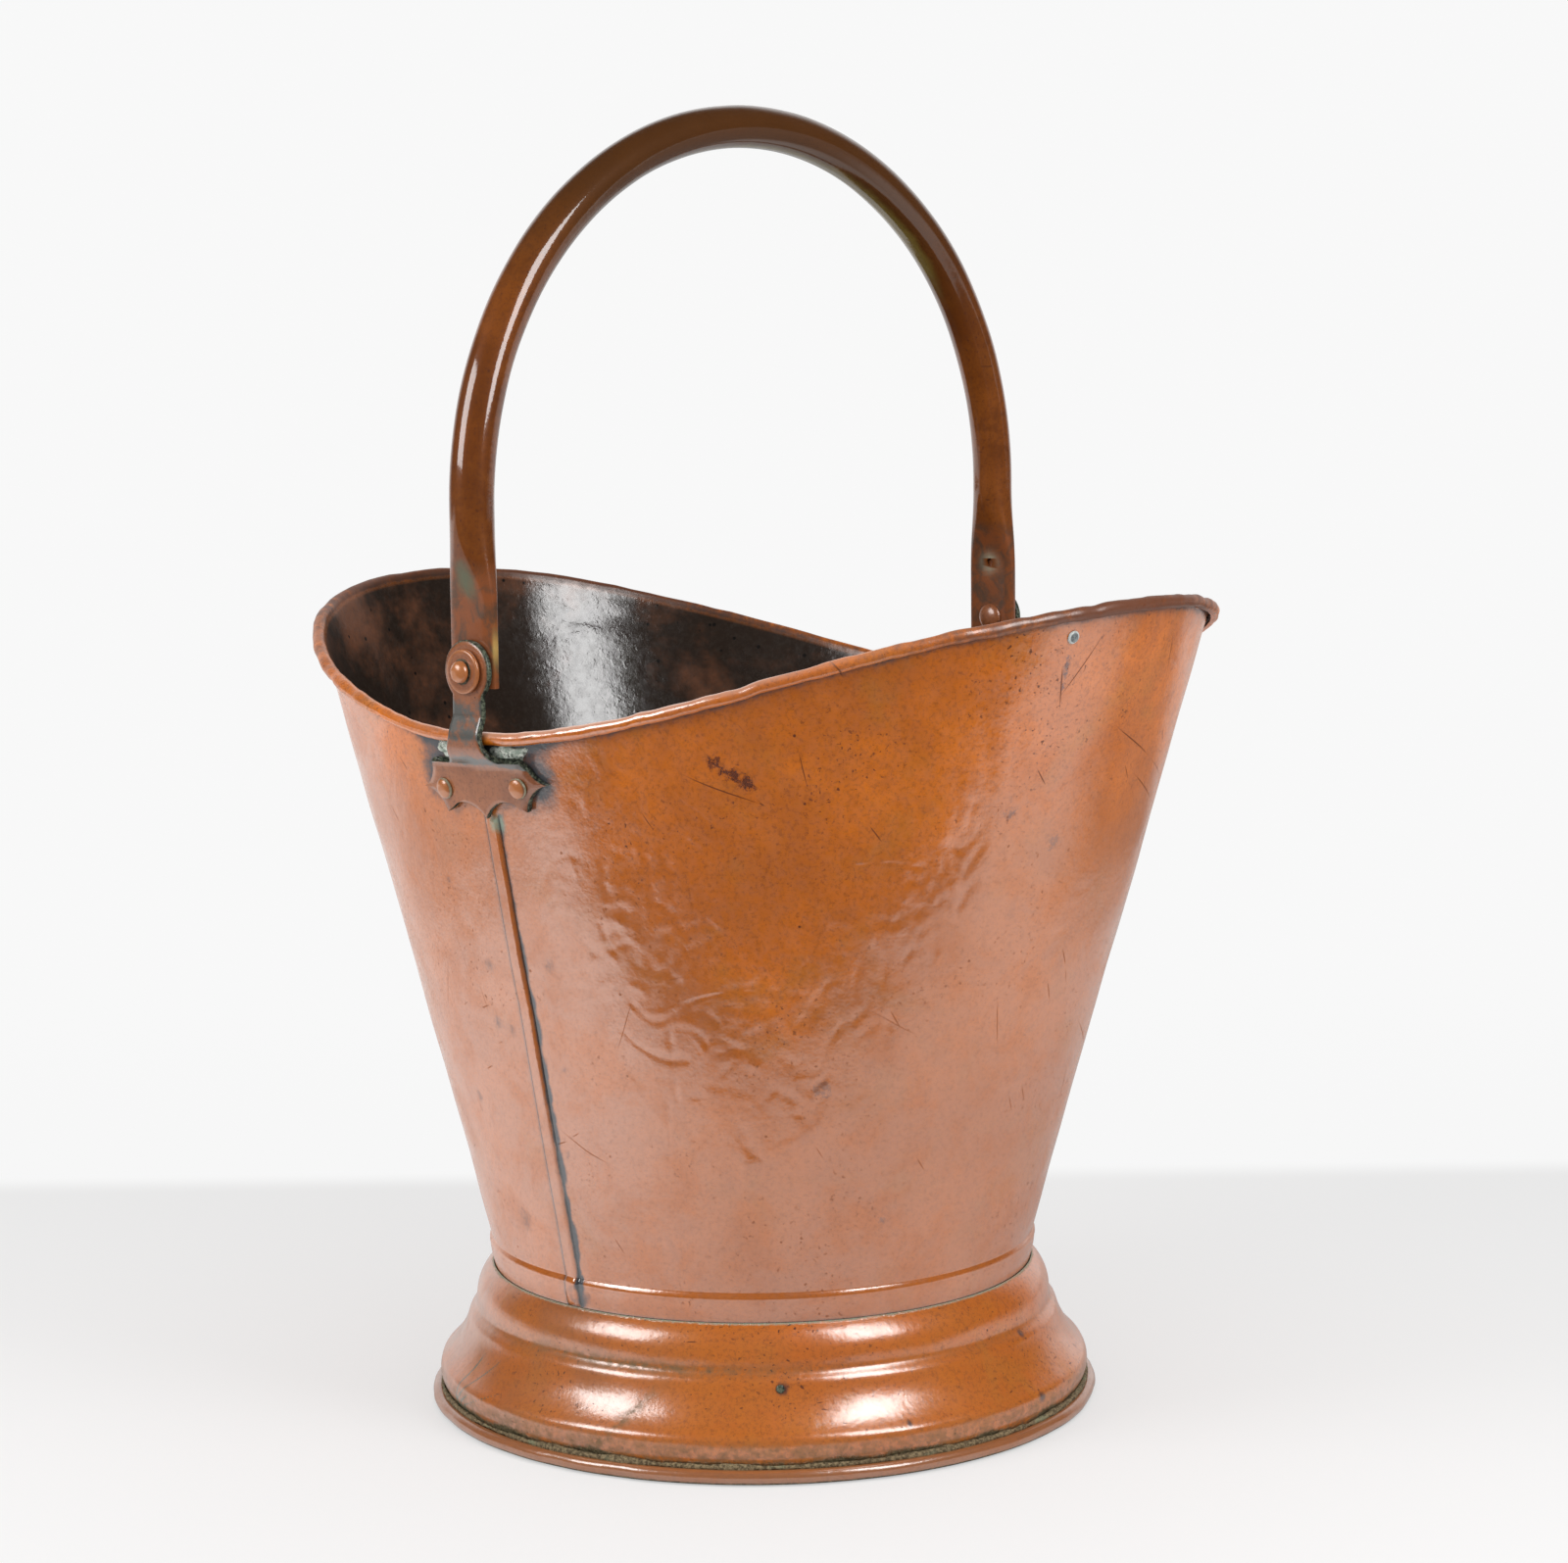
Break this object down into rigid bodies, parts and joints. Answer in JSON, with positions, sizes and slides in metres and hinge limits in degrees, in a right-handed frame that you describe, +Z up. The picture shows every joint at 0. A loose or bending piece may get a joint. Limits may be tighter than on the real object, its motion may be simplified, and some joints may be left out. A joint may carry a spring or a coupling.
{
  "type": "copper bucket",
  "caption": "Copper bucket with a moulded foot, an oval flared body, a wired saddle rim, scalloped ears and a swing handle for carrying coal, ice or bottles.",
  "frame": {"origin": "middle of the foot's underside, on the surface it stands on", "axes": "+Z up, X along the handle's pivot axis through both ears, -Y towards the lobe at the front right of the picture, the side seam under the ear at -X"},
  "size_m": [0.3072, 0.3644, 0.4832],
  "materials": {
    "body_copper": "aged polished copper sheet with dents and tarnish",
    "fitting_copper": "dull copper with verdigris in the corners",
    "handle_copper": "dark glossy copper tube",
    "iron_wire": "plain iron wire",
    "solder": "grey tinned rivet"
  },
  "bodies": {
    "bucket": {"base_disc": "body_copper", "body_shell": "body_copper", "foot_plug": "fitting_copper", "foot_ring": "body_copper", "foot_wire": "iron_wire", "left_ear": "fitting_copper", "left_ear_rivet_back": "fitting_copper", "left_ear_rivet_front": "fitting_copper", "left_pivot_rivet": "fitting_copper", "left_rove": "fitting_copper", "lobe_plug": "solder", "right_ear": "fitting_copper", "right_ear_rivet_back": "fitting_copper", "right_ear_rivet_front": "fitting_copper", "right_pivot_rivet": "fitting_copper", "right_rove": "fitting_copper", "rim_wire": "iron_wire"},
    "bail": {"handle": "handle_copper"}
  },
  "joints": [
    {"name": "handle_swing", "type": "hinge", "parent": "bucket", "child": "bail", "pos_m": [0, 0, 0.2855], "axis": [1, 0, 0], "range_deg": [-81, 81]}
  ]
}
